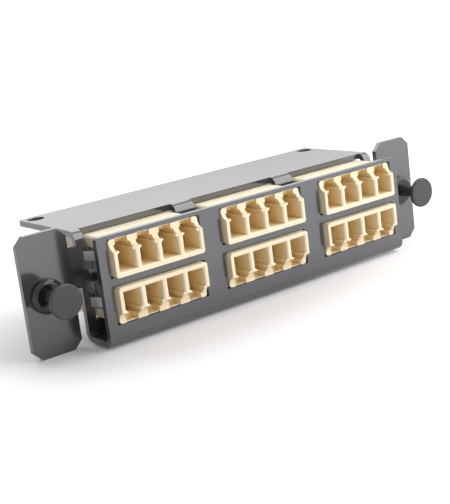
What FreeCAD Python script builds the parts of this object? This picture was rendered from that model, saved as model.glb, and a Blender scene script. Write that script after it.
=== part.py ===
"""Fibre adapter bracket: one folded sheet that carries six four-port LC adapters.

Millimetres. X runs along the plate, +Z is up, and the ports face -Y. The origin is midway
between the two plungers, on the back of the ears, which is the face that seats on a panel.
"""
import FreeCAD
import Part
import math
import os

V = FreeCAD.Vector
Y_AXIS = V(0, 1, 0)
Z_AXIS = V(0, 0, 1)
SAME = 0.01                    # lengths and directions closer than this are taken as equal

# Bracket: one steel sheet, folded four times
SHEET = 1.5                    # sheet thickness
BEND_INNER = 1.0               # inside radius of every fold
PANEL_LENGTH = 98.6            # front panel, floor, rear wall and top plate, along X
PANEL_TOP = 12.5               # free top edge of the front panel
FLOOR_BOTTOM = -14.45          # underside of the floor
CHANNEL_DEPTH = 9.78           # front face of the front panel to front face of the rear wall
PLATE_TOP = 13.15              # upper face of the top plate
PLATE_REAR = 27.0              # rear edge of the top plate
PLATE_CORNER_RADIUS = 1.0
HOLE_DIAMETER = 4.4            # fixing holes in the top plate
HOLE_EDGE_X = 3.3              # hole centre to the side edge
HOLE_EDGE_Y = 3.6              # hole centre to the rear edge

# Ears: in the plane of the rear wall, each held by a neck
EAR_SPAN = 129.5               # outer edge to outer edge
EAR_WIDTH = 13.2
EAR_HEIGHT = 30.2
EAR_CHAMFER = 2.2
NECK_BOTTOM = -0.66            # the relief slot below the neck ends here
NECK_TOP = 9.4                 # the relief notch above the neck ends here

# Adapters: three columns, two rows, the upper row with its latch side up
ADAPTER_COLUMNS = 3
ADAPTER_PITCH = 33.2           # column to column
ROW_CENTRES = {"upper": 6.88, "lower": -4.64}
ADAPTER_WIDTH = 25.8
ADAPTER_HEIGHT = 9.1
ADAPTER_PROUD = 1.82           # port faces stand out of the front panel by this much
ADAPTER_EDGE_CHAMFER = 0.45     # on the four long edges
SCOOP_STEPS = 2                # flats that stand for the scooped step between the ports
FLANGE_THICKNESS = 2.2         # both halves of the flange together, behind the rear wall
FLANGE_OVERLAP = 0.6           # each ear of the flange reaches past the window by this much
FLANGE_BASE = 0.5              # flange above the adapter's base face
FLANGE_HEIGHT = 7.0
WINDOW_SIDE_GAP = 0.7          # adapter side to window edge
WINDOW_END_GAP = 0.15          # adapter base or top to window edge
WINDOW_REACH = 0.8             # the upper rear windows run through the fold as far as this

# Ports
PORT_COUNT = 4
PORT_PITCH = 6.25
PORT_WIDTH = 4.7               # square opening for the plug body
PORT_BASE = 1.25               # wall under the opening
SHOULDER_HEIGHT = 6.2          # the proud part of the front ends here
LATCH_HEIGHT = 1.6             # latch room above the square opening
LATCH_DEPTH = 9.0
SLOT_WIDTH = 3.5               # slot for the latch lever
SLOT_DEPTH = 2.7               # the slot's open length behind the latch face

# Sleeve holder, a plate with four barrels that both halves clamp, and its alignment sleeves
HOLDER_THICKNESS = 2.4
HOLDER_SKIN = 0.8              # housing left round the plate
HOLDER_CLEARANCE = 0.05
SLEEVE_SIDES = 6               # sleeves and barrels are too small to need more
SLEEVE_LENGTH = 6.8
SLEEVE_OUTER_RADIUS = 0.81
SLEEVE_INNER_RADIUS = 0.63
SLEEVE_SLIT = 0.3
SLEEVE_CLEARANCE = 0.05
BARREL_WALL = 0.6
BARREL_LIP = 0.7               # lip that stops the sleeve
LIP_RADIUS = 0.7

# Steel clip on each adapter
CLIP_THICKNESS = 0.3
CLIP_LENGTH = 5.6              # along Y
CLIP_ARM_HEIGHT = 6.6
CLIP_EDGE_GAP = 0.1            # to the rear wall and to the ends of its recess
TAB_HEIGHT = 2.4
TAB_LENGTH = 4.4
TAB_FLARE = 1.5                # free end of the tab stands out by this much
TAB_SLOT = 0.15                # lanced gap round the tab

# Plungers
PLUNGER_SPACING = 118.1
GROMMET_HOLE_RADIUS = 3.0
GROMMET_CLEARANCE = 0.05
COLLAR_RADIUS = 4.3
COLLAR_THICKNESS = 2.2
COLLAR_CHAMFER = 0.8
LEG_RADIUS = 2.75
LEG_LENGTH = 7.0               # behind the back of the ear
LEG_WALL = 0.5
LEG_SPLIT = 0.9
LEG_SPLIT_START = 2.4
STEM_RADIUS = 1.6
STEM_CLEARANCE = 0.06
STEP_DEPTH = 0.8               # step in the grommet's bore, behind the back of the ear
RETAINER_LENGTH = 0.8
RETAINER_CLEARANCE = 0.3
STOP_GAP = 0.1
STEM_TIP = 5.0                 # beyond the retainer; it spreads the legs when pushed in
HEAD_RADIUS = 4.2
HEAD_THICKNESS = 2.2
HEAD_CHAMFER = 0.8
HEAD_STANDOFF = 7.7            # back of the head to the front of the ear, pulled out

# Places that follow from the sizes above
WALL_FRONT = -SHEET
PANEL_FRONT = WALL_FRONT - CHANNEL_DEPTH
PORT_FACE = PANEL_FRONT - ADAPTER_PROUD
MID_PLANE = FLANGE_THICKNESS / 2
EAR_INNER = EAR_SPAN / 2 - EAR_WIDTH
WINDOW_HALF = ADAPTER_WIDTH / 2 + WINDOW_SIDE_GAP
BEND_OUTER = BEND_INNER + SHEET
BARREL_BORE = SLEEVE_OUTER_RADIUS + SLEEVE_CLEARANCE
BARREL_RADIUS = BARREL_BORE + BARREL_WALL
BARREL_REACH = SLEEVE_LENGTH / 2 + SLEEVE_CLEARANCE + BARREL_LIP
CLIP_REAR = WALL_FRONT - CLIP_EDGE_GAP
CLIP_FRONT = CLIP_REAR - CLIP_LENGTH
OVER = 1.0                     # how far a cutter runs past what it cuts


def block(x0, x1, y0, y1, z0, z1):
    return Part.makeBox(x1 - x0, y1 - y0, z1 - z0, V(x0, y0, z0))


def rounded_path(corners, radii):
    """Edges through the corners, with a tangent arc at each inner one."""
    edges = []
    start = corners[0]
    for before, corner, after, radius in zip(corners, corners[1:], corners[2:], radii):
        back = (before - corner).normalize()
        ahead = (after - corner).normalize()
        half_turn = back.getAngle(ahead) / 2
        setback = radius / math.tan(half_turn)
        towards_centre = (back + ahead).normalize()
        centre = corner + towards_centre * (radius / math.sin(half_turn))
        first = corner + back * setback
        last = corner + ahead * setback
        edges.append(Part.makeLine(start, first))
        edges.append(Part.Arc(first, centre - towards_centre * radius, last).toShape())
        start = last
    edges.append(Part.makeLine(start, corners[-1]))
    return edges


def folded_strip(side_a, radii_a, side_b, radii_b, along):
    """A folded sheet: the two faces of its section, closed at both ends and drawn out."""
    edges = rounded_path(side_a, radii_a)
    edges += rounded_path(side_b, radii_b)
    edges.append(Part.makeLine(side_a[0], side_b[0]))
    edges.append(Part.makeLine(side_a[-1], side_b[-1]))
    wire = Part.Wire(Part.__sortEdges__(edges))
    return Part.Face(wire).extrude(along)


def revolved(points):
    """Solid of revolution about the Y axis, from (y, radius) points."""
    corners = [V(0, y, radius) for y, radius in points]
    face = Part.Face(Part.makePolygon(corners + corners[:1]))
    solid = face.revolve(V(0, 0, 0), Y_AXIS, 360)
    return solid if solid.Volume > 0 else solid.reversed()


def rod(radius, y0, y1, x=0.0):
    return Part.makeCylinder(radius, y1 - y0, V(x, y0, 0), Y_AXIS)


def small_rod(radius, y0, y1, x, z):
    """A rod of few sides, whose flats are at the radius."""
    step = 2 * math.pi / SLEEVE_SIDES
    corner = radius / math.cos(step / 2)
    points = []
    for side in range(SLEEVE_SIDES + 1):
        turn = (side + 1 / 2) * step
        points.append(V(x + corner * math.sin(turn), y0, z + corner * math.cos(turn)))
    return Part.Face(Part.makePolygon(points)).extrude(V(0, y1 - y0, 0))


def along_y(edge):
    return abs(edge.tangentAt(edge.FirstParameter).y) > 1 - SAME


def adapter_columns():
    middle = (ADAPTER_COLUMNS - 1) / 2
    return [(column - middle) * ADAPTER_PITCH for column in range(ADAPTER_COLUMNS)]


# Bracket

def folded_body():
    """Front panel, floor, rear wall and top plate, folded from one strip."""
    left = -PANEL_LENGTH / 2
    under = PLATE_TOP - SHEET
    floor_top = FLOOR_BOTTOM + SHEET
    panel_back = PANEL_FRONT + SHEET
    outside = [
        V(left, PANEL_FRONT, PANEL_TOP),
        V(left, PANEL_FRONT, FLOOR_BOTTOM),
        V(left, 0, FLOOR_BOTTOM),
        V(left, 0, under),
        V(left, PLATE_REAR, under),
    ]
    inside = [
        V(left, panel_back, PANEL_TOP),
        V(left, panel_back, floor_top),
        V(left, WALL_FRONT, floor_top),
        V(left, WALL_FRONT, PLATE_TOP),
        V(left, PLATE_REAR, PLATE_TOP),
    ]
    return folded_strip(
        outside, [BEND_OUTER, BEND_OUTER, BEND_INNER],
        inside, [BEND_INNER, BEND_INNER, BEND_OUTER],
        V(PANEL_LENGTH, 0, 0),
    )


def ear(side):
    """One ear with its chamfered corners, and the neck that joins it to the rear wall."""
    inner = EAR_INNER
    outer = EAR_SPAN / 2
    top = EAR_HEIGHT / 2
    cut = EAR_CHAMFER
    outline = [
        (inner + cut, -top), (outer - cut, -top), (outer, -top + cut), (outer, top - cut),
        (outer - cut, top), (inner + cut, top), (inner, top - cut), (inner, -top + cut),
    ]
    corners = [V(side * x, WALL_FRONT, z) for x, z in outline]
    plate = Part.Face(Part.makePolygon(corners + corners[:1])).extrude(V(0, SHEET, 0))
    reach = sorted((side * PANEL_LENGTH / 2, side * (inner + OVER)))
    neck = block(reach[0], reach[1], WALL_FRONT, 0, NECK_BOTTOM, NECK_TOP)
    hole = rod(GROMMET_HOLE_RADIUS, WALL_FRONT - OVER, OVER, side * PLUNGER_SPACING / 2)
    return plate.fuse(neck).cut(hole).removeSplitter()


def window_cutters():
    """Windows for the adapters in the front panel and in the rear wall."""
    cutters = []
    half_height = ADAPTER_HEIGHT / 2 + WINDOW_END_GAP
    for row, centre in ROW_CENTRES.items():
        low = centre - half_height
        high = centre + half_height
        through_fold = row == "upper"
        for x in adapter_columns():
            sides = (x - WINDOW_HALF, x + WINDOW_HALF)
            cutters.append(block(*sides, PANEL_FRONT - OVER, PANEL_FRONT + SHEET + OVER, low, high))
            wall_rear = WINDOW_REACH if through_fold else OVER
            wall_high = PLATE_TOP + OVER if through_fold else high
            cutters.append(block(*sides, WALL_FRONT - OVER, wall_rear, low, wall_high))
    return cutters


def plate_holes():
    holes = []
    for side in (-1, 1):
        centre = V(side * (PANEL_LENGTH / 2 - HOLE_EDGE_X), PLATE_REAR - HOLE_EDGE_Y, 0)
        holes.append(Part.makeCylinder(HOLE_DIAMETER / 2, PLATE_TOP + OVER, centre, Z_AXIS))
    return holes


def bracket():
    body = folded_body()
    corners = [
        edge for edge in body.Edges
        if abs(edge.CenterOfMass.y - PLATE_REAR) < SAME
        and abs(edge.tangentAt(edge.FirstParameter).z) > 1 - SAME
    ]
    body = body.makeFillet(PLATE_CORNER_RADIUS, corners)
    body = body.cut(window_cutters() + plate_holes()).removeSplitter()
    return body.fuse([ear(-1), ear(1)])


# Adapter, drawn in its upper place: base face down at Z = 0, latch side up, middle at X = 0

def housing_block():
    """Outer form of a front half, with the scooped step up to the latch face."""
    half = ADAPTER_WIDTH / 2
    top = ADAPTER_HEIGHT
    outline = [V(-half, MID_PLANE, top), V(-half, MID_PLANE, 0), V(-half, PORT_FACE, 0)]
    for step in range(SCOOP_STEPS + 1):
        turn = math.pi / 2 * step / SCOOP_STEPS
        outline.append(V(
            -half,
            PORT_FACE + ADAPTER_PROUD * math.sin(turn),
            SHOULDER_HEIGHT + ADAPTER_PROUD * (1 - math.cos(turn)),
        ))
    outline.append(V(-half, PANEL_FRONT, top))
    solid = Part.Face(Part.makePolygon(outline + outline[:1])).extrude(V(ADAPTER_WIDTH, 0, 0))
    long_edges = [
        edge for edge in solid.Edges if along_y(edge) and edge.Length > ADAPTER_PROUD * 2
    ]
    return solid.makeChamfer(ADAPTER_EDGE_CHAMFER, long_edges)


def port_centres():
    middle = (PORT_COUNT - 1) / 2
    return [(port - middle) * PORT_PITCH for port in range(PORT_COUNT)]


def port_cutters(x):
    """Everything that is open in one port: plug body, latch room and lever slot."""
    half = PORT_WIDTH / 2
    square_top = PORT_BASE + PORT_WIDTH
    latch_top = square_top + LATCH_HEIGHT
    front = PORT_FACE - OVER
    latch_end = PORT_FACE + LATCH_DEPTH
    plug = block(x - half, x + half, front, MID_PLANE + OVER, PORT_BASE, square_top)
    latch = block(x - half, x + half, front, latch_end, square_top, latch_top)
    slot = block(
        x - SLOT_WIDTH / 2, x + SLOT_WIDTH / 2,
        front, PANEL_FRONT + SLOT_DEPTH, latch_top, ADAPTER_HEIGHT + OVER,
    )
    return plug.fuse([latch, slot]).removeSplitter()


def clip_band(y0, y1):
    """A band under the base face and up both sides, as thick as the clip."""
    outline = []
    for inset in (0, CLIP_THICKNESS):
        half = ADAPTER_WIDTH / 2 - inset
        chamfer = ADAPTER_EDGE_CHAMFER - inset * math.tan(math.pi / 8)
        turn = [
            (half, CLIP_ARM_HEIGHT), (half, inset + chamfer), (half - chamfer, inset),
            (chamfer - half, inset), (-half, inset + chamfer), (-half, CLIP_ARM_HEIGHT),
        ]
        outline += turn if inset == 0 else turn[::-1]
    corners = [V(x, y0, z) for x, z in outline]
    return Part.Face(Part.makePolygon(corners + corners[:1])).extrude(V(0, y1 - y0, 0))


def flange_ears():
    """Half of the flange: an ear at each side, against the back of the rear wall."""
    reach = WINDOW_HALF + FLANGE_OVERLAP
    inner = ADAPTER_WIDTH / 2 - HOLDER_SKIN / 2
    top = FLANGE_BASE + FLANGE_HEIGHT
    return [
        block(-reach, -inner, 0, MID_PLANE, FLANGE_BASE, top),
        block(inner, reach, 0, MID_PLANE, FLANGE_BASE, top),
    ]


def holder_plate(clearance):
    """The plate of the sleeve holder, or with a clearance the room that it takes."""
    half = ADAPTER_WIDTH / 2 - HOLDER_SKIN - HOLDER_CLEARANCE + clearance
    low = HOLDER_SKIN + HOLDER_CLEARANCE - clearance
    reach = HOLDER_THICKNESS / 2 + clearance
    return block(-half, half, MID_PLANE - reach, MID_PLANE + reach, low, ADAPTER_HEIGHT - low)


def front_housing():
    solid = housing_block()
    openings = [port_cutters(x) for x in port_centres()]
    openings.append(clip_band(CLIP_FRONT - CLIP_EDGE_GAP, WALL_FRONT))
    openings.append(holder_plate(HOLDER_CLEARANCE))
    return solid.cut(openings).fuse(flange_ears()).removeSplitter()


def sleeve_holder():
    """A plate with a barrel for each sleeve, and a lip at both ends of each barrel."""
    z = PORT_BASE + PORT_WIDTH / 2
    front = MID_PLANE - BARREL_REACH
    rear = MID_PLANE + BARREL_REACH
    barrels = []
    rooms = []
    for x in port_centres():
        barrels.append(small_rod(BARREL_RADIUS, front, rear, x, z))
        rooms.append(small_rod(BARREL_BORE, front + BARREL_LIP, rear - BARREL_LIP, x, z))
        rooms.append(small_rod(LIP_RADIUS, front - OVER, rear + OVER, x, z))
    return holder_plate(0).fuse(barrels).cut(rooms).removeSplitter()


def clip_tab(side):
    """Lanced tab: rooted in the arm, its free end flared out in front of the rear wall."""
    outer = ADAPTER_WIDTH / 2
    root = CLIP_REAR - TAB_LENGTH
    low = (ADAPTER_HEIGHT - TAB_HEIGHT) / 2
    outline = [
        V(side * outer, root, low),
        V(side * (outer + TAB_FLARE), CLIP_REAR, low),
        V(side * (outer + TAB_FLARE - CLIP_THICKNESS), CLIP_REAR, low),
        V(side * (outer - CLIP_THICKNESS), root, low),
    ]
    return Part.Face(Part.makePolygon(outline + outline[:1])).extrude(V(0, 0, TAB_HEIGHT))


def clip():
    """Spring clip: a strap under the adapter and two arms with flared tabs."""
    half = ADAPTER_WIDTH / 2
    low = (ADAPTER_HEIGHT - TAB_HEIGHT) / 2 - TAB_SLOT
    high = (ADAPTER_HEIGHT + TAB_HEIGHT) / 2 + TAB_SLOT
    root = CLIP_REAR - TAB_LENGTH
    windows = [
        block(-half - OVER, -half + OVER, root, CLIP_REAR + OVER, low, high),
        block(half - OVER, half + OVER, root, CLIP_REAR + OVER, low, high),
    ]
    band = clip_band(CLIP_FRONT, CLIP_REAR).cut(windows)
    return band.fuse([clip_tab(-1), clip_tab(1)]).removeSplitter()


def sleeve(x):
    """Split ceramic sleeve that lines up two ferrules."""
    z = PORT_BASE + PORT_WIDTH / 2
    y0 = MID_PLANE - SLEEVE_LENGTH / 2
    y1 = MID_PLANE + SLEEVE_LENGTH / 2
    tube = small_rod(SLEEVE_OUTER_RADIUS, y0, y1, x, z)
    tube = tube.cut(small_rod(SLEEVE_INNER_RADIUS, y0 - OVER, y1 + OVER, x, z))
    slit = block(
        x - SLEEVE_SLIT / 2, x + SLEEVE_SLIT / 2, y0 - OVER, y1 + OVER, z, z + SLEEVE_OUTER_RADIUS + OVER
    )
    return tube.cut(slit)


def adapter_pieces():
    """The pieces of one adapter by name, still in the adapter's own place."""
    front = front_housing()
    pieces = {
        "front_housing": front,
        "rear_housing": front.mirror(V(0, MID_PLANE, 0), Y_AXIS),
        "sleeve_holder": sleeve_holder(),
        "clip": clip(),
    }
    for number, x in enumerate(port_centres(), start=1):
        pieces["sleeve_%d" % number] = sleeve(x)
    return pieces


def placed(shape, x, row):
    """Move a piece of an adapter to its column and row; the lower row is turned over."""
    moved = shape.copy()
    centre = ROW_CENTRES[row]
    if row == "lower":
        moved.rotate(V(0, 0, ADAPTER_HEIGHT / 2), Y_AXIS, 180)
    moved.translate(V(x, 0, centre - ADAPTER_HEIGHT / 2))
    return moved


# Plungers, drawn about X = 0

def grommet():
    """Collar in front of the ear and two split legs that go through the panel behind it."""
    collar_front = WALL_FRONT - COLLAR_THICKNESS
    neck = GROMMET_HOLE_RADIUS - GROMMET_CLEARANCE
    hole = STEM_RADIUS + STEM_CLEARANCE
    bore = LEG_RADIUS - LEG_WALL
    solid = revolved([
        (collar_front, hole), (collar_front, COLLAR_RADIUS - COLLAR_CHAMFER),
        (collar_front + COLLAR_CHAMFER, COLLAR_RADIUS), (WALL_FRONT, COLLAR_RADIUS),
        (WALL_FRONT, neck), (0, neck), (0, LEG_RADIUS), (LEG_LENGTH, LEG_RADIUS),
        (LEG_LENGTH, bore), (STEP_DEPTH, bore), (STEP_DEPTH, hole),
    ])
    half = LEG_SPLIT / 2
    reach = LEG_RADIUS + OVER
    return solid.cut(block(-reach, reach, LEG_SPLIT_START, LEG_LENGTH + OVER, -half, half))


def plunger():
    """Mushroom head on a stem, with the ring that keeps it in the grommet."""
    head_back = WALL_FRONT - HEAD_STANDOFF
    head_front = head_back - HEAD_THICKNESS
    ring = LEG_RADIUS - LEG_WALL - RETAINER_CLEARANCE
    ring_front = STEP_DEPTH + STOP_GAP
    ring_back = ring_front + RETAINER_LENGTH
    tip = ring_back + STEM_TIP
    return revolved([
        (head_front, 0), (head_front, HEAD_RADIUS - HEAD_CHAMFER),
        (head_front + HEAD_CHAMFER, HEAD_RADIUS), (head_back, HEAD_RADIUS),
        (head_back, STEM_RADIUS),
        (ring_front, STEM_RADIUS), (ring_front, ring), (ring_back, ring), (ring_back, STEM_RADIUS),
        (tip, STEM_RADIUS), (tip, 0),
    ])


def all_pieces():
    pieces = {"bracket": bracket()}
    names = adapter_pieces()
    for row in ROW_CENTRES:
        for column, x in enumerate(adapter_columns(), start=1):
            for name, shape in names.items():
                pieces["%s_%d_%s" % (row, column, name)] = placed(shape, x, row)
    collar = grommet()
    pin = plunger()
    for side, sign in (("left", -1), ("right", 1)):
        shift = V(sign * PLUNGER_SPACING / 2, 0, 0)
        pieces[side + "_grommet"] = collar.translated(shift)
        pieces[side + "_plunger"] = pin.translated(shift)
    return pieces


os.makedirs("parts", exist_ok=True)
for name, shape in all_pieces().items():
    solids = shape.Solids
    if len(solids) != 1 or not shape.isValid():
        print("CHECK", name, len(solids), shape.isValid())
    solids[0].exportStep("parts/" + name + ".step")
    print("%-28s %10.2f mm3" % (name, solids[0].Volume))
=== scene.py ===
"""Fibre adapter bracket: finishes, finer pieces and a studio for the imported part.

Metres, in the part's own frame. X runs along the plate, the ports face -Y and +Z is up. The finer
pieces start from the solids or from the sizes they share, ease the edges and add thin trim. They
stay inside the solids' box.
"""
import bpy
import bmesh
from math import asin, cos, degrees, hypot, pi, radians, sin
from mathutils import Matrix, Vector

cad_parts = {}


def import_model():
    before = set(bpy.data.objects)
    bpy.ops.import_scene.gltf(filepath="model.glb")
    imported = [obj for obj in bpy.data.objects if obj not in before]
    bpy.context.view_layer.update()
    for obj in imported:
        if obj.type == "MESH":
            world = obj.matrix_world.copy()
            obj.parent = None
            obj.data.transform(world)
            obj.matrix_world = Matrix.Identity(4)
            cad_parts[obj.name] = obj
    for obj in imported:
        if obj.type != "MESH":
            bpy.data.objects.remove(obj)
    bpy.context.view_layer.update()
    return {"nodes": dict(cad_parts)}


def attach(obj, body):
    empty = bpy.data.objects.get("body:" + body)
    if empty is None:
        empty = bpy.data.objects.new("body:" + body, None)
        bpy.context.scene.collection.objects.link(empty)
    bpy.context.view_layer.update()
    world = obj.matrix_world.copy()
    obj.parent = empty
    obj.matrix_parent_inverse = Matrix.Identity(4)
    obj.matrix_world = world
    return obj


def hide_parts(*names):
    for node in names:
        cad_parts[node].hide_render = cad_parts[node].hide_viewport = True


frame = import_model()

MM = 0.001

# Sizes shared with the solids, in millimetres
SHEET = 1.5
HALF_PANEL = 49.3
PANEL_TOP = 12.5
PANEL_FRONT = -11.28
EAR_FRONT = -1.5
ADAPTER_PITCH = 33.2
ADAPTER_COLUMNS = (1, 2, 3)
ADAPTER_HEIGHT = 9.1
ROW_CENTRES = {"upper": 6.88, "lower": -4.64}
PORT_FACE = -13.1
MID_PLANE = 1.1
PORTS = 4
PORT_PITCH = 6.25
PORT_WIDTH = 4.7
PORT_BASE = 1.25
PORT_TOP = PORT_BASE + PORT_WIDTH
PORT_AXIS = PORT_BASE + PORT_WIDTH / 2
SHOULDER_HEIGHT = 6.2
SLOT_WIDTH = 3.5
SLOT_LENGTH = 2.7               # behind the front of the panel
SLEEVE_OUTER = 0.81
SLEEVE_INNER = 0.63
SLEEVE_LENGTH = 6.8
SLEEVE_SLIT = 0.3
PLUNGER_X = 59.05
HEAD_STANDOFF = 7.7             # back of the head to the front of the ear
HEAD_THICKNESS = 2.2
HEAD_RADIUS = 4.2
STEM_RADIUS = 1.6
STEM_TIP = 6.7
RING_RADIUS = 1.95
RING_FRONT = 0.9
RING_REAR = 1.7

# Rounding of edges, in millimetres
SHEET_ROUND = 0.16
PANEL_CORNER_ROUND = 0.9
MOULDED_ROUND = 0.14
SCOOP_ROUND = 0.6               # where the stepped shoulder falls back from the port face
PORT_LEAD_IN = 0.5
HEAD_ROUND = 0.45
KNOB_ROUND = 0.12
COLLAR_RIM_ROUND = 0.35
COLLAR_ROUND = 0.1
BARREL_ROUND_SHARE = 0.97       # of half a hexagon's side, taken up by each corner's rounding

# Trim that only this scene has, in millimetres
RAIL_REACH = 0.5                # out of the side wall
RAIL_SUNK = 0.2                 # root of the ledge inside the wall
RAIL_TOP = 6.38
RAIL_CORNER = 0.12
RAIL_DROP = 0.35
RAIL_LIFT = 0.02                # of its lower edge over the top of the plug's room
RAIL_SETBACK = 0.15             # behind the port face
RAIL_LENGTH = 8.0
SLOT_FLOOR = 0.25               # skin that closes the slot's far side behind the panel's face
SLOT_FLOOR_FRONT = 0.4          # behind the front of the panel
SLOT_FLOOR_LAP = 0.1            # into the walls and the plastic behind
SLOT_FLOOR_INSET = 0.02
HEAD_RIM = 0.9                  # thickness of the head at its rim; behind it tapers
HEAD_NECK = 2.3                 # radius of the head at its back
LEG_TAPER = 0.02                # share of the radius per millimetre
LEG_TAPER_START = 1.0

# Painted shade inside the ports, where the plastic turns darker and warmer, in millimetres
DEPTH_LAYER = "port_depth"      # how far a point is behind the mouth of its port
PAINTED_SHADE_FROM_TO = (0.2, 3.0)
PORT_MARGIN = 0.25              # round a port, still counted as inside it
FLOOR_MARGIN = 0.03
CAP_MARGIN = 0.05

# Slack in millimetres when edges are looked up by their place, and when points are merged
SAME = 0.01
NEAR = 0.05
CLEAR_OF_FACES = 0.1            # a scoop's edges lie this far behind the port face, or farther
CLEAR_OF_EAR = 0.5              # a collar's rim lies this far in front of the ear, or farther
MERGE = 0.001
SLIVER = 0.015                  # left between two roundings that meet


# Mesh helpers

def as_piece(bm, name, material, body="plate", smooth_under=38):
    """Turn a bmesh into a piece of the part: finished, smooth up to an angle, riding on a body."""
    mesh = bpy.data.meshes.new(name)
    bm.to_mesh(mesh)
    bm.free()
    mesh.materials.append(material)
    for polygon in mesh.polygons:
        polygon.use_smooth = True
    mesh.set_sharp_from_angle(angle=radians(smooth_under))
    piece = bpy.data.objects.new(name, mesh)
    bpy.context.scene.collection.objects.link(piece)
    even = piece.modifiers.new("even_shading", "WEIGHTED_NORMAL")
    even.keep_sharp = True
    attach(piece, body)
    return piece


def merged_copy(node):
    """The node's own form as a bmesh of whole flat faces, so that its edges can be rounded."""
    bm = bmesh.new()
    bm.from_mesh(frame["nodes"][node].data)
    bmesh.ops.remove_doubles(bm, verts=bm.verts, dist=MERGE * MM)
    bmesh.ops.dissolve_limit(bm, angle_limit=radians(1), verts=bm.verts, edges=bm.edges)
    return bm


def corner_angle(edge):
    return degrees(edge.calc_face_angle(0.0)) if len(edge.link_faces) == 2 else 0.0


def sharp_edges(bm, above=40):
    """The edges whose faces turn by more than an angle in degrees."""
    return [edge for edge in bm.edges if corner_angle(edge) > above]


def middle(edge):
    """The middle of an edge, in millimetres."""
    return (edge.verts[0].co + edge.verts[1].co) / 2 / MM


def direction(edge):
    return (edge.verts[1].co - edge.verts[0].co).normalized()


def along_x(edge):
    return abs(direction(edge).x) > 0.99


def along_y(edge):
    return abs(direction(edge).y) > 0.99


def round_edges(bm, edges, width, segments=2):
    """Bevel some edges by a width in millimetres."""
    bmesh.ops.bevel(
        bm, geom=edges, offset=width * MM, offset_type="OFFSET", segments=segments,
        profile=0.5, affect="EDGES", material=-1, clamp_overlap=True,
    )


def lathe(profile, centre_x, steps=64):
    """Solid of revolution about the Y axis at centre_x, from (y, radius) in millimetres."""
    bm = bmesh.new()
    verts = [bm.verts.new((centre_x * MM, y * MM, radius * MM)) for y, radius in profile]
    edges = [bm.edges.new(pair) for pair in zip(verts, verts[1:])]
    bmesh.ops.spin(
        bm, geom=verts + edges, cent=(centre_x * MM, 0, 0), axis=(0, 1, 0),
        angle=2 * pi, steps=steps, use_merge=True,
    )
    bmesh.ops.remove_doubles(bm, verts=bm.verts, dist=MERGE * MM)
    bmesh.ops.recalc_face_normals(bm, faces=bm.faces)
    return bm


# Material helpers

def new_finish(name):
    material = bpy.data.materials.new(name)
    material.use_nodes = True
    tree = material.node_tree
    return material, tree.nodes, tree.links, tree.nodes["Principled BSDF"]


def place_of(nodes):
    return nodes.new("ShaderNodeTexCoord").outputs["Object"]


def grain(nodes, links, place, scale, detail=2.0):
    """Noise of a size given in waves per metre."""
    noise = nodes.new("ShaderNodeTexNoise")
    noise.inputs["Scale"].default_value = scale
    noise.inputs["Detail"].default_value = detail
    links.new(place, noise.inputs["Vector"])
    return noise.outputs["Fac"]


def between(nodes, links, factor, low, high, socket, clip=(0.3, 0.7)):
    """Run a socket from low to high as the factor goes across its middle range."""
    remap = nodes.new("ShaderNodeMapRange")
    remap.inputs["From Min"].default_value = clip[0]
    remap.inputs["From Max"].default_value = clip[1]
    remap.inputs["To Min"].default_value = low
    remap.inputs["To Max"].default_value = high
    links.new(factor, remap.inputs["Value"])
    links.new(remap.outputs["Result"], socket)


def two_tone(nodes, links, factor, dark, light, clip=(0.3, 0.7)):
    ramp = nodes.new("ShaderNodeValToRGB")
    ramp.color_ramp.elements[0].position = clip[0]
    ramp.color_ramp.elements[0].color = (*dark, 1)
    ramp.color_ramp.elements[1].position = clip[1]
    ramp.color_ramp.elements[1].color = (*light, 1)
    links.new(factor, ramp.inputs["Fac"])
    return ramp.outputs["Color"]


def relief(nodes, links, factor, height, strength, shader):
    """Fine bumps of a height in metres."""
    bump = nodes.new("ShaderNodeBump")
    bump.inputs["Strength"].default_value = strength
    bump.inputs["Distance"].default_value = height
    links.new(factor, bump.inputs["Height"])
    links.new(bump.outputs["Normal"], shader.inputs["Normal"])


# Finishes

def powder_coat():
    """Satin dark grey powder coat: fine orange peel and a faint cloudiness."""
    material, nodes, links, shader = new_finish("powder_coat")
    place = place_of(nodes)
    cloud = grain(nodes, links, place, 55, 3)
    peel = grain(nodes, links, place, 1500, 1)
    colour = two_tone(nodes, links, cloud, (0.055, 0.053, 0.059), (0.063, 0.061, 0.067))
    links.new(colour, shader.inputs["Base Color"])
    between(nodes, links, cloud, 0.12, 0.15, shader.inputs["Roughness"])
    shader.inputs["IOR"].default_value = 1.95
    relief(nodes, links, peel, 0.00002, 0.12, shader)
    return material


def beige_moulding():
    """Beige adapter plastic, semi-gloss, with painted shade and a painted warm glow inside the
    ports, where light passes through it: deeper in, the colour turns darker and warmer.
    """
    material, nodes, links, shader = new_finish("beige_moulding")
    place = place_of(nodes)
    flow = grain(nodes, links, place, 120, 2)
    fine = grain(nodes, links, place, 2600, 1)
    outer = two_tone(nodes, links, flow, (0.93, 0.80, 0.57), (0.95, 0.83, 0.61))
    # Painted shade: the darker, warmer tone that the insides of the ports blend to, deeper in
    inner = two_tone(nodes, links, flow, (0.89, 0.69, 0.37), (0.92, 0.72, 0.40))
    depth = nodes.new("ShaderNodeAttribute")
    depth.attribute_name = DEPTH_LAYER
    painted_port_shade = nodes.new("ShaderNodeMix")
    painted_port_shade.data_type = "RGBA"
    between(nodes, links, depth.outputs["Fac"], 0.0, 1.0, painted_port_shade.inputs["Factor"], PAINTED_SHADE_FROM_TO)
    links.new(outer, painted_port_shade.inputs["A"])
    links.new(inner, painted_port_shade.inputs["B"])
    links.new(painted_port_shade.outputs["Result"], shader.inputs["Base Color"])
    between(nodes, links, flow, 0.36, 0.44, shader.inputs["Roughness"])
    relief(nodes, links, fine, 0.00002, 0.15, shader)
    return material


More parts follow.
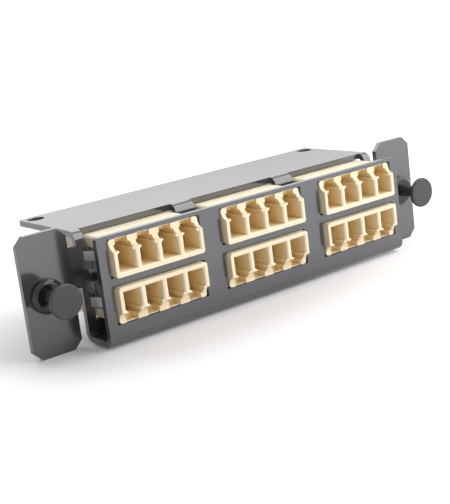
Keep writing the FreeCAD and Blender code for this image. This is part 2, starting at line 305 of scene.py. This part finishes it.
def clip_steel():
    """Bright rolled spring steel."""
    material, nodes, links, shader = new_finish("clip_steel")
    rolled = grain(nodes, links, place_of(nodes), 300, 2)
    colour = two_tone(nodes, links, rolled, (0.60, 0.60, 0.61), (0.66, 0.66, 0.66))
    links.new(colour, shader.inputs["Base Color"])
    shader.inputs["Metallic"].default_value = 1.0
    between(nodes, links, rolled, 0.30, 0.36, shader.inputs["Roughness"])
    return material


def zirconia():
    """Polished white ceramic."""
    material, nodes, links, shader = new_finish("zirconia")
    cloud = grain(nodes, links, place_of(nodes), 500, 2)
    colour = two_tone(nodes, links, cloud, (0.86, 0.86, 0.83), (0.91, 0.91, 0.88))
    links.new(colour, shader.inputs["Base Color"])
    between(nodes, links, cloud, 0.12, 0.2, shader.inputs["Roughness"])
    shader.inputs["IOR"].default_value = 1.9
    return material


def nylon(name, dark, light, smoothest, roughest, texture):
    """Dark nylon; the texture is the depth of its moulded grain in metres."""
    material, nodes, links, shader = new_finish(name)
    place = place_of(nodes)
    cloud = grain(nodes, links, place, 260, 3)
    fine = grain(nodes, links, place, 3200, 2)
    links.new(two_tone(nodes, links, cloud, dark, light), shader.inputs["Base Color"])
    between(nodes, links, cloud, smoothest, roughest, shader.inputs["Roughness"])
    relief(nodes, links, fine, texture, 0.3, shader)
    return material


paint = powder_coat()
beige = beige_moulding()
steel = clip_steel()
ceramic = zirconia()
gloss_nylon = nylon(
    "gloss_nylon", (0.008, 0.008, 0.009), (0.012, 0.012, 0.013), 0.10, 0.15, 0.000005,
)
satin_nylon = nylon(
    "satin_nylon", (0.036, 0.033, 0.034), (0.048, 0.044, 0.045), 0.40, 0.50, 0.00004,
)


# The folded bracket

def painted_bracket():
    """The folded sheet with every raw edge eased by the paint."""
    bm = merged_copy("bracket")
    upper_corners = [
        edge for edge in sharp_edges(bm)
        if along_y(edge) and abs(abs(middle(edge).x) - HALF_PANEL) < SAME
        and middle(edge).y < PANEL_FRONT + SHEET and middle(edge).z > PANEL_TOP - NEAR
    ]
    round_edges(bm, upper_corners, PANEL_CORNER_ROUND, 4)
    round_edges(bm, sharp_edges(bm), SHEET_ROUND, 2)
    piece = as_piece(bm, "painted_bracket", paint)
    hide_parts("bracket")


# Adapters

def adapter_places():
    """Each adapter's name, the middle and base of its place, and -1 where it is turned over."""
    for row, centre in ROW_CENTRES.items():
        turn = 1 if row == "upper" else -1
        for column in ADAPTER_COLUMNS:
            x = (column - 2) * ADAPTER_PITCH
            yield "%s_%d" % (row, column), x, centre - turn * ADAPTER_HEIGHT / 2, turn


def port_middles():
    return [(port - (PORTS - 1) / 2) * PORT_PITCH for port in range(PORTS)]


def beside_port(along):
    """How far a place along an adapter is from the middle of its nearest port."""
    return abs((along / PORT_PITCH + PORTS / 2) % 1 - 0.5) * PORT_PITCH


def behind(ends, rear):
    """Two ends along Y, mirrored in the adapter's middle plane for the rear half."""
    return [2 * MID_PLANE - y for y in ends] if rear else ends


def bar(bm, ring, ends, x, base, turn):
    """A closed bar along Y, from its section in the adapter's own place and its two ends."""
    loops = []
    for y in ends:
        loops.append([
            bm.verts.new(((x + turn * along) * MM, y * MM, (base + turn * up) * MM))
            for along, up in ring
        ])
    faces = [bm.faces.new(loops[0]), bm.faces.new(loops[1][::-1])]
    for i in range(len(ring)):
        j = (i + 1) % len(ring)
        faces.append(bm.faces.new((loops[0][i], loops[1][i], loops[1][j], loops[0][j])))
    bmesh.ops.recalc_face_normals(bm, faces=faces)


def rail(bm, wall, side, x, base, turn, rear):
    """The ledge on a side wall that parts the plug's room from the latch's."""
    inner = wall - side * RAIL_REACH
    outer = wall + side * RAIL_SUNK
    ring = [
        (inner, RAIL_TOP - RAIL_CORNER), (inner + side * RAIL_CORNER, RAIL_TOP),
        (outer, RAIL_TOP), (outer, PORT_TOP - RAIL_DROP), (inner, PORT_TOP + RAIL_LIFT),
    ]
    bar(bm, ring, behind([PORT_FACE + RAIL_SETBACK, PORT_FACE + RAIL_LENGTH], rear), x, base, turn)


def slot_floor(bm, middle_x, x, base, turn, rear):
    """The thin outer wall behind each lever slot."""
    half = SLOT_WIDTH / 2 + SLOT_FLOOR_LAP
    low, high = ADAPTER_HEIGHT - SLOT_FLOOR, ADAPTER_HEIGHT - SLOT_FLOOR_INSET
    ring = [(middle_x - half, low), (middle_x + half, low),
            (middle_x + half, high), (middle_x - half, high)]
    ends = [PANEL_FRONT + SLOT_FLOOR_FRONT, PANEL_FRONT + SLOT_LENGTH + SLOT_FLOOR_LAP]
    bar(bm, ring, behind(ends, rear), x, base, turn)


def housing(adapter, half_name, x, base, turn):
    """One half of an adapter: eased edges, lead-ins, smooth scoops, ledges and slot floors."""
    node = "%s_%s_housing" % (adapter, half_name)
    bm = merged_copy(node)
    rear = half_name == "rear"
    half_ports = PORTS / 2 * PORT_PITCH

    def own(point):
        """A point in the adapter's own place, as if it were the front half of an upper one."""
        y = 2 * MID_PLANE - point.y if rear else point.y
        return Vector(((point.x - x) * turn, y, (point.z - base) * turn))

    mouths, scoops = [], []
    for edge in sharp_edges(bm, above=20):
        place = own(middle(edge))
        inside = beside_port(place.x) < PORT_WIDTH / 2 + NEAR and abs(place.x) <= half_ports
        at_face = abs(place.y - PORT_FACE) < SAME
        if at_face and inside and PORT_BASE - NEAR < place.z < SHOULDER_HEIGHT:
            mouths.append(edge)
        elif along_x(edge) and PORT_FACE + CLEAR_OF_FACES < place.y < PANEL_FRONT - CLEAR_OF_FACES:
            scoops.append(edge)
    round_edges(bm, mouths, PORT_LEAD_IN, 3)
    round_edges(bm, [edge for edge in scoops if edge.is_valid], SCOOP_ROUND, 4)
    round_edges(bm, sharp_edges(bm, above=44), MOULDED_ROUND, 2)
    bmesh.ops.remove_doubles(bm, verts=bm.verts, dist=SLIVER * MM)
    for port in port_middles():
        for side in (-1, 1):
            rail(bm, port + side * PORT_WIDTH / 2, side, x, base, turn, rear)
        slot_floor(bm, port, x, base, turn, rear)
    # Depth behind the port mouth, read by the plastic's painted shade: darker and warmer deeper in
    depth = bm.verts.layers.float.new(DEPTH_LAYER)
    for vert in bm.verts:
        place = own(vert.co / MM)
        beside = beside_port(place.x) < PORT_WIDTH / 2 + PORT_MARGIN and abs(place.x) < half_ports
        if beside and PORT_BASE - FLOOR_MARGIN < place.z < ADAPTER_HEIGHT - CAP_MARGIN:
            vert[depth] = max(place.y - PORT_FACE, 0)
    piece = as_piece(bm, "%s_%s_moulding" % (adapter, half_name), beige)
    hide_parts(node)


def round_holder(adapter, x, base, turn):
    """The sleeve holder, its hexagonal barrels, bores and lips made round one after another."""
    node = adapter + "_sleeve_holder"
    bm = merged_copy(node)
    for _ in ("barrels", "bores", "lips"):
        corners = {}
        for edge in bm.edges:
            if along_y(edge) and 50 < corner_angle(edge) < 70:
                up = (middle(edge).z - base) * turn - PORT_AXIS
                reach = round(hypot(beside_port(middle(edge).x - x), up), 1)
                corners.setdefault(reach, []).append(edge)
        widest = max(corners)
        round_edges(bm, corners[widest], BARREL_ROUND_SHARE * widest / 2, 3)
    piece = as_piece(bm, adapter + "_barrels", beige, smooth_under=30)
    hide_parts(node)


def round_sleeve(adapter, number, x, base, turn):
    """A split tube of ceramic, turned round from its section beside the slit."""
    node = "%s_sleeve_%d" % (adapter, number)
    axis_x = x + turn * port_middles()[number - 1]
    axis_z = base + turn * PORT_AXIS
    gap = asin(SLEEVE_SLIT / 2 / SLEEVE_INNER)
    front, rear = MID_PLANE - SLEEVE_LENGTH / 2, MID_PLANE + SLEEVE_LENGTH / 2
    bm = bmesh.new()
    section = bm.faces.new([
        bm.verts.new((
            (axis_x + turn * radius * sin(gap)) * MM, y * MM,
            (axis_z + turn * radius * cos(gap)) * MM,
        ))
        for radius, y in (
            (SLEEVE_INNER, front), (SLEEVE_OUTER, front), (SLEEVE_OUTER, rear), (SLEEVE_INNER, rear),
        )
    ])
    bmesh.ops.spin(
        bm, geom=[section, *section.edges, *section.verts], cent=(axis_x * MM, 0, axis_z * MM),
        axis=(0, 1, 0), angle=2 * (pi - gap), steps=28,
    )
    bmesh.ops.recalc_face_normals(bm, faces=bm.faces)
    piece = as_piece(bm, "%s_split_sleeve_%d" % (adapter, number), ceramic)
    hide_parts(node)


def adapters():
    for adapter, x, base, turn in adapter_places():
        for half_name in ("front", "rear"):
            housing(adapter, half_name, x, base, turn)
        round_holder(adapter, x, base, turn)
        for number in range(1, PORTS + 1):
            round_sleeve(adapter, number, x, base, turn)
        node = frame["nodes"][adapter + "_clip"]
        node.data.materials.clear()
        node.data.materials.append(steel)


# Plungers and grommets

def plunger(side, sign):
    """Mushroom head, thin at its rim, on its stem with the retainer ring."""
    back = EAR_FRONT - HEAD_STANDOFF
    front = back - HEAD_THICKNESS
    bm = lathe([
        (front, 0), (front, HEAD_RADIUS), (front + HEAD_RIM, HEAD_RADIUS), (back, HEAD_NECK),
        (back, STEM_RADIUS), (RING_FRONT, STEM_RADIUS), (RING_FRONT, RING_RADIUS),
        (RING_REAR, RING_RADIUS), (RING_REAR, STEM_RADIUS), (STEM_TIP, STEM_RADIUS), (STEM_TIP, 0),
    ], sign * PLUNGER_X)
    rim = [edge for edge in sharp_edges(bm) if abs(middle(edge).y - front) < SAME]
    round_edges(bm, rim, HEAD_ROUND, 5)
    round_edges(bm, sharp_edges(bm, above=60), KNOB_ROUND, 2)
    piece = as_piece(bm, side + "_push_knob", satin_nylon, side + "_plunger")
    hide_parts(side + "_plunger")


def grommet(side, sign):
    """The collar with its split legs, which taper slightly towards their tips."""
    bm = merged_copy(side + "_grommet")
    rim = [
        edge for edge in sharp_edges(bm, above=30)
        if corner_angle(edge) < 60 and middle(edge).y < EAR_FRONT - CLEAR_OF_EAR
    ]
    round_edges(bm, rim, COLLAR_RIM_ROUND, 3)
    round_edges(bm, sharp_edges(bm, above=60), COLLAR_ROUND, 2)
    for vert in bm.verts:
        taper = LEG_TAPER * max(vert.co.y / MM - LEG_TAPER_START, 0)
        vert.co.x -= (vert.co.x - sign * PLUNGER_X * MM) * taper
        vert.co.z -= vert.co.z * taper
    piece = as_piece(bm, side + "_collar", gloss_nylon)
    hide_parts(side + "_grommet")


painted_bracket()
adapters()
for side, sign in (("left", -1), ("right", 1)):
    plunger(side, sign)
    grommet(side, sign)


# Studio

FLOOR = -15.1 * MM
FLOOR_COLOUR = (0.86, 0.85, 0.865, 1)
GLOW_STRETCH = (0.8, 1, 1)      # the floor's glow grows from here, more slowly along X
GLOW_SHIFT = (0.018, 0, 0)
GLOW_STARTS = ((0.06, 0.030), (0.0, 0.15))      # glow and distance in metres: near and far
GLOW_ENDS = ((0.34, 0.072), (0.66, 0.50))
WORLD_LEFT = 0.12
WORLD_RIGHT = 0.62
WORLD_TURN = 0.7                # how far to either side the world's strength still changes


def white_for_camera_and_gloss(nodes, links):
    """A Map Range at 1 for what is seen or mirrored, and at its To Min for light on the object."""
    path = nodes.new("ShaderNodeLightPath")
    seen = path.outputs["Is Camera Ray"]
    for ray in ("Is Glossy Ray", "Is Transmission Ray"):
        either = nodes.new("ShaderNodeMath")
        either.operation = "MAXIMUM"
        links.new(seen, either.inputs[0])
        links.new(path.outputs[ray], either.inputs[1])
        seen = either.outputs["Value"]
    strength = nodes.new("ShaderNodeMapRange")
    links.new(seen, strength.inputs["Value"])
    return strength


def floor_white():
    """White that keeps the object's shadow and glows with distance, for the camera and gloss."""
    material, nodes, links, shader = new_finish("floor_white")
    shader.inputs["Base Color"].default_value = FLOOR_COLOUR
    shader.inputs["Roughness"].default_value = 0.9
    stretched = nodes.new("ShaderNodeVectorMath")
    stretched.operation = "MULTIPLY_ADD"
    stretched.inputs[1].default_value = GLOW_STRETCH
    stretched.inputs[2].default_value = GLOW_SHIFT
    links.new(place_of(nodes), stretched.inputs[0])
    away = nodes.new("ShaderNodeVectorMath")
    away.operation = "LENGTH"
    links.new(stretched.outputs["Vector"], away.inputs[0])
    glow = nodes.new("ShaderNodeMath")
    glow.operation = "ADD"
    for (low, starts), (high, ends), socket in zip(GLOW_STARTS, GLOW_ENDS, glow.inputs):
        between(nodes, links, away.outputs["Value"], low, high, socket, (starts, ends))
    shown = nodes.new("ShaderNodeMath")
    shown.operation = "MULTIPLY"
    links.new(glow.outputs["Value"], shown.inputs[0])
    links.new(white_for_camera_and_gloss(nodes, links).outputs["Result"], shown.inputs[1])
    light = nodes.new("ShaderNodeEmission")
    light.inputs["Color"].default_value = (1, 1, 1, 1)
    links.new(shown.outputs["Value"], light.inputs["Strength"])
    both = nodes.new("ShaderNodeAddShader")
    links.new(shader.outputs["BSDF"], both.inputs[0])
    links.new(light.outputs["Emission"], both.inputs[1])
    links.new(both.outputs["Shader"], nodes["Material Output"].inputs["Surface"])
    return material


def floor():
    bm = bmesh.new()
    bmesh.ops.create_grid(bm, x_segments=1, y_segments=1, size=3.0)
    bmesh.ops.translate(bm, verts=bm.verts, vec=(0, 0, FLOOR))
    mesh = bpy.data.meshes.new("floor")
    bm.to_mesh(mesh)
    bm.free()
    mesh.materials.append(floor_white())
    piece = bpy.data.objects.new("floor", mesh)
    bpy.context.scene.collection.objects.link(piece)


def world():
    """Light on the object, stronger from the right; white for the camera and for what shines."""
    studio = bpy.data.worlds.new("studio")
    bpy.context.scene.world = studio
    studio.use_nodes = True
    nodes, links = studio.node_tree.nodes, studio.node_tree.links
    background = nodes["Background"]
    background.inputs["Color"].default_value = (1, 1, 1, 1)
    towards = nodes.new("ShaderNodeSeparateXYZ")
    links.new(nodes.new("ShaderNodeTexCoord").outputs["Generated"], towards.inputs["Vector"])
    strength = white_for_camera_and_gloss(nodes, links)
    between(
        nodes, links, towards.outputs["X"], WORLD_LEFT, WORLD_RIGHT,
        strength.inputs["To Min"], (-WORLD_TURN, WORLD_TURN),
    )
    links.new(strength.outputs["Result"], background.inputs["Strength"])


def soft_box(name, towards, distance, size, power):
    """A rectangular lamp at a distance from the object, turned to face it."""
    lamp = bpy.data.lights.new(name, "AREA")
    lamp.shape = "RECTANGLE"
    lamp.size, lamp.size_y = size
    lamp.energy = power
    holder = bpy.data.objects.new(name, lamp)
    place = Vector(towards).normalized() * distance
    holder.location = place
    holder.rotation_euler = (-place).to_track_quat("-Z", "Y").to_euler()
    bpy.context.scene.collection.objects.link(holder)


floor()
world()
soft_box("key", (0.70, -0.58, 0.58), 0.54, (0.74, 0.74), 3.8)
soft_box("top", (0.10, 0.60, 0.80), 0.9, (0.9, 0.6), 3.8)
soft_box("back", (0.58, 0.78, 0.42), 1.1, (0.9, 0.5), 0.8)


# Camera

CAMERA_AIM = Vector((-3.77, 1.65, -3.57)) * MM
CAMERA_DISTANCE = 301.4 * MM
CAMERA_AZIMUTH = 35.94          # degrees from -Y towards -X
CAMERA_ELEVATION = 13.85
CAMERA_ROLL = 7.26
LENS = 81.1


def camera():
    data = bpy.data.cameras.new("camera")
    data.sensor_fit = "VERTICAL"
    data.sensor_height = 36
    data.lens = LENS
    data.clip_start = 0.01
    azimuth, elevation, roll = map(radians, (CAMERA_AZIMUTH, CAMERA_ELEVATION, CAMERA_ROLL))
    forward = Vector((sin(azimuth) * cos(elevation), cos(azimuth) * cos(elevation), -sin(elevation)))
    level = Vector((cos(azimuth), -sin(azimuth), 0))
    upright = level.cross(forward)
    right = level * cos(roll) - upright * sin(roll)
    up = upright * cos(roll) + level * sin(roll)
    holder = bpy.data.objects.new("camera", data)
    turn = Matrix((right, up, -forward)).transposed().to_4x4()
    holder.matrix_world = Matrix.Translation(CAMERA_AIM - forward * CAMERA_DISTANCE) @ turn
    bpy.context.scene.collection.objects.link(holder)
    bpy.context.scene.camera = holder


camera()
bpy.context.scene.view_settings.view_transform = "Standard"
